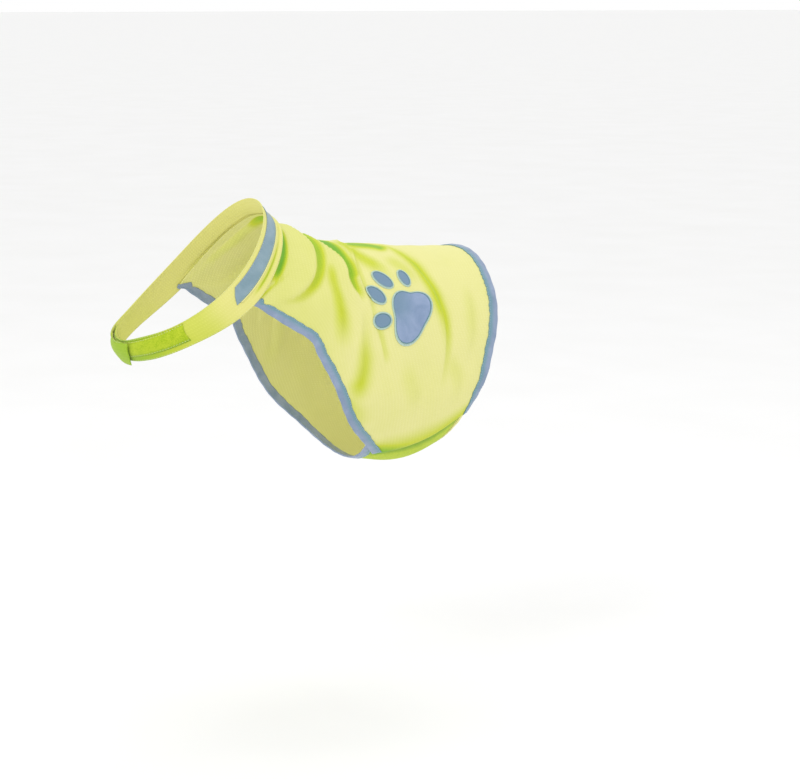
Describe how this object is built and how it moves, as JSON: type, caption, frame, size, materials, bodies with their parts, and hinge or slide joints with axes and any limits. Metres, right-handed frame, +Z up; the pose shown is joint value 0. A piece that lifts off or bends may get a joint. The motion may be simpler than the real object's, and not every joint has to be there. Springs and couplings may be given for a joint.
{
  "type": "dog safety vest",
  "caption": "High-visibility vest for a large dog: knit cape with belly flaps, neck band, reflective bindings and paw patches on the flanks.",
  "frame": {"origin": "on the wearer's spine at the withers, on the underside of the cloth, where the vest is carried", "axes": "+Z up, -Y the way the wearer faces, +X the wearer's left side"},
  "size_m": [0.2252, 0.4635, 0.3259],
  "materials": {
    "knit": "fluorescent yellow polyester warp knit, slight sheen",
    "reflective_tape": "blue-grey glass-bead reflective fabric tape",
    "loop_tape": "yellow-green brushed loop tape of a touch fastener",
    "hook_tape": "yellow-green nylon hook tape of a touch fastener"
  },
  "bodies": {
    "root": {"body_panel": "knit", "neck_band": "knit", "collar_reflector": "reflective_tape", "front_binding_left": "reflective_tape", "front_binding_right": "reflective_tape", "hem_binding": "reflective_tape", "neck_loop_tape": "loop_tape", "neck_hook_tape": "hook_tape", "belly_loop_tape": "loop_tape", "belly_hook_tape": "hook_tape", "paw_left_pad": "reflective_tape", "paw_left_toe_1": "reflective_tape", "paw_left_toe_2": "reflective_tape", "paw_left_toe_3": "reflective_tape", "paw_left_toe_4": "reflective_tape", "paw_right_pad": "reflective_tape", "paw_right_toe_1": "reflective_tape", "paw_right_toe_2": "reflective_tape", "paw_right_toe_3": "reflective_tape", "paw_right_toe_4": "reflective_tape"}
  },
  "joints": []
}
